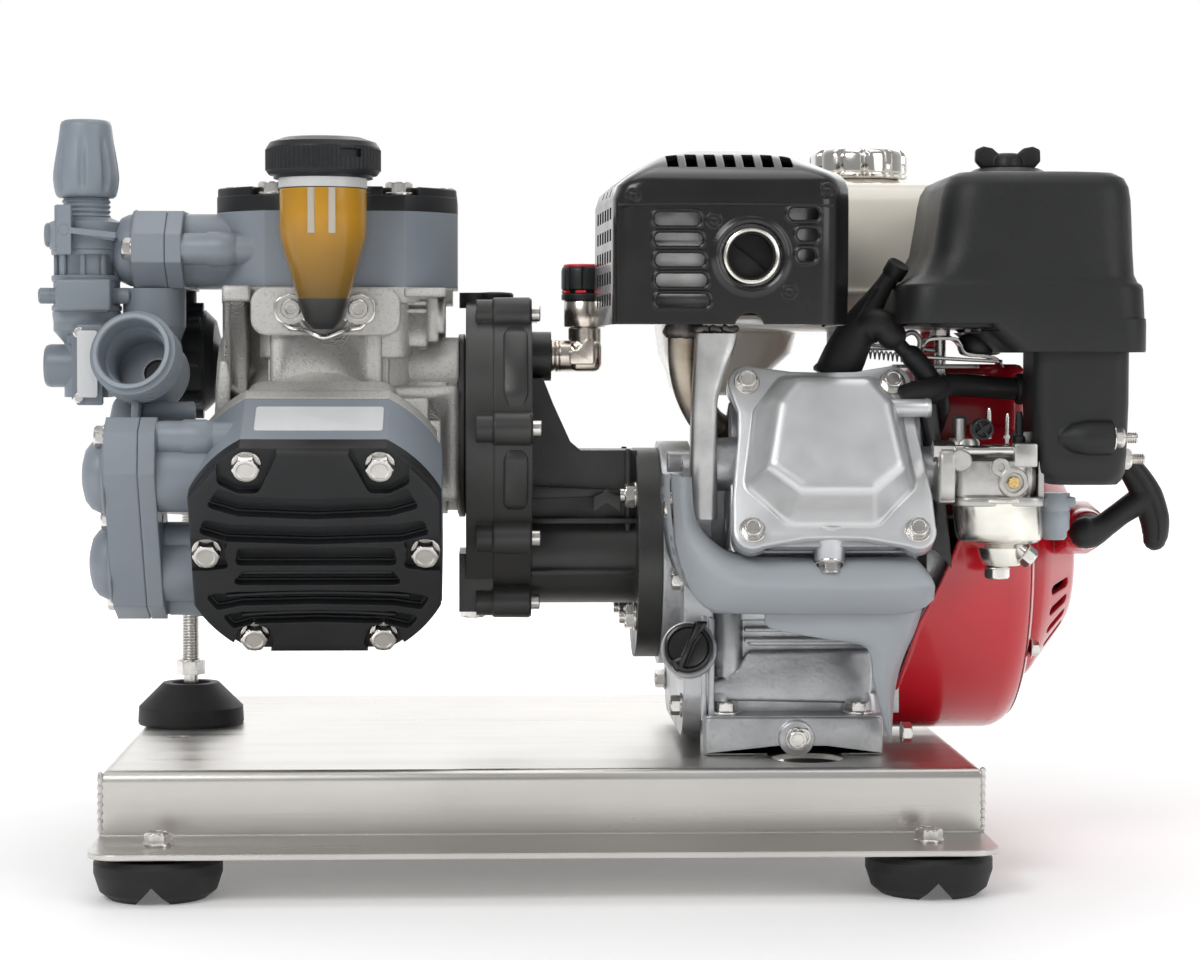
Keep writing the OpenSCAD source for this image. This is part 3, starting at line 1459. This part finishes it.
plug_seat = [173, -111, 258];
lead_route = [[177, -113, 283], [186, -119, 312], [191, -124, 298], [204, -124, 284],
    [219, -118, 270], [226, -108, 262]];
module plug_cap() {
    color("#161617") {
        // Boot on the plug, knob on top
        bar(plug_seat + [0.5, 0, 1], lead_route[0], 5, 5);
        bar(lead_route[0] - [1, 0.5, 6], lead_route[0], 8, 10);
        translate(lead_route[0]) sphere(10.4);
        bar(lead_route[0], lead_route[1], 10, 7);
        translate(lead_route[1]) sphere(7.2);
        bar(lead_route[1], [189, -119, 333], 5, 4.6);
        translate([189, -113, 333]) rod_front(6, 12);
        // Lead down to the coil side
        for (i = [1:len(lead_route) - 2]) bar(lead_route[i], lead_route[i + 1], 4, 4);
        for (i = [2:len(lead_route) - 1]) translate(lead_route[i]) sphere(4.2);
        translate([226, block_duct_y - 0.02, 262]) rod_front(4, 108 + block_duct_y);
    }
}

module breather_hose() {
    start = [cylinder_x + 55.52, axis_y - (face_r + 12) * cos(cylinder_tilt) + 26 * sin(cylinder_tilt),
        engine_z + (face_r + 12) * sin(cylinder_tilt) + 26 * cos(cylinder_tilt)];
    bend = [start[0] + 18, start[1] + 6, 269];
    color("#161617") difference() {
        union() {
            translate(start) rod_x(7, 9);
            bar(start + [7, 0, 0], bend, 6.6, 6.6);
            translate(bend) sphere(7.4);
            translate(bend) rod_x(7, duct_x0 - bend[0] - 0.02);
        }
        translate(start - [1, 0, 0]) rod_x(4, 9);
        bar(start + [7, 0, 0], bend, 3.8, 3.8);
        translate(bend) sphere(4.3);
        translate(bend) rod_x(4, 70);
    }
}

lever_x = 226;
module throttle_lever() {
    color("silver") translate([lever_x, -84, duct_top + 1.02]) {
        translate([-12, -10, 0]) cube([40, 18, 2]);
        translate([-12, -10, 9]) cube([26, 18, 2]);
        translate([0, 0, -1]) cylinder(r = 3, h = 16);
    }
}

// Turning parts of the engine

crank_web_r = stroke / 2 + 8;
rod_half = 10;
module engine_crankshaft() {
    color("gray") translate([0, axis_y, engine_z]) {
        translate([wheel_x0, 0, 0]) rod_x(6, 26);
        translate([wheel_x0 + gear_width + 1, 0, 0]) rod_x(drive_r, split_x + 10 - wheel_x0 - gear_width - 1);
        translate([split_x + 6, 0, 0]) rod_x(13, cylinder_x - rod_half - 1 - split_x - 6);
        translate([cylinder_x - rod_half - 13, 0, 0]) rod_x(crank_web_r, 12);
        translate([cylinder_x + rod_half + 1, 0, 0]) rod_x(crank_web_r, 12);
        translate([cylinder_x + rod_half + 1, 0, 0]) rod_x(13, fan_x1 - cylinder_x - rod_half - 8);
    }
}

module flywheel() {
    color("gray") translate([fan_x0 + 6, axis_y, engine_z]) difference() {
        union() {
            rod_x(84, 12);
            rod_x(24, 56);
            for (a = [0:24:336]) rotate([a, 0, 0]) translate([12, -1.2, 40]) cube([30, 2.4, 42]);
            translate([12, 0, 0]) rod_x(42, 3);
        }
        translate([-1, 0, 0]) rod_x(13 + run, 80);
    }
}

module engine_piston() {
    top = head_joint - 3;
    wrist = top - 15;
    throw = stroke / 2;
    color("darkgray") cylinder_frame() {
        difference() {
            translate([0, 0, top - 20]) cylinder(r = sleeve_r - run, h = 20);
            translate([0, 0, top - 21]) cylinder(r = sleeve_r - 6, h = 14);
        }
        translate([-sleeve_r + 3, 0, wrist]) rod_x(6, 2 * sleeve_r - 6);
        difference() {
            union() {
                translate([-8, 0, wrist]) rod_x(9, 16);
                translate([-rod_half + 0.5, 0, throw]) rod_x(12, 2 * rod_half - 1);
                translate([-5, -5, throw]) cube([10, 10, wrist - throw]);
            }
            translate([-20, 0, wrist]) rod_x(6 + run, 40);
        }
    }
}

placed() base_plate();
placed() rubber_feet();
placed() base_bolts();
placed() leveling_screw();
placed() leveling_pad();
placed() pump_crankcase();
placed() top_head();
placed() front_head();
placed() top_cover();
placed() front_cover();
placed() pump_bolts();
placed() top_valve_chest();
placed() front_valve_chest();
placed() check_valves();
placed() suction_manifold();
placed() regulator_body();
placed() regulator_knob();
placed() bypass_lever();
placed() pulsation_damper();
placed() oil_cup();
placed() oil_cup_cap();
placed() pump_crankshaft();
placed() top_piston();
placed() front_piston();
placed() top_diaphragm();
placed() front_diaphragm();
placed() shaft_bearings();
placed() gearbox_case();
placed() bell_housing();
placed() gear_wheel();
placed() pinion();
placed() gearbox_screws();
placed() breather_elbow();
placed() breather_cap();
placed() engine_block();
placed() block_cover();
placed() engine_bolts();
placed() cylinder_head();
placed() valve_cover();
placed() muffler();
placed() muffler_shield();
placed() carburettor();
placed() float_bowl();
placed() air_cleaner_base();
placed() filter_element();
placed() air_cleaner_cover();
placed() wing_nut();
placed() fuel_tank();
placed() fuel_cap();
placed() fan_housing();
placed() recoil_cover();
placed() starter_handle();
placed() lower_shroud();
placed() plug_cap();
placed() breather_hose();
placed() oil_dipstick();
placed() engine_crankshaft();
placed() flywheel();
placed() engine_piston();
placed() throttle_lever();
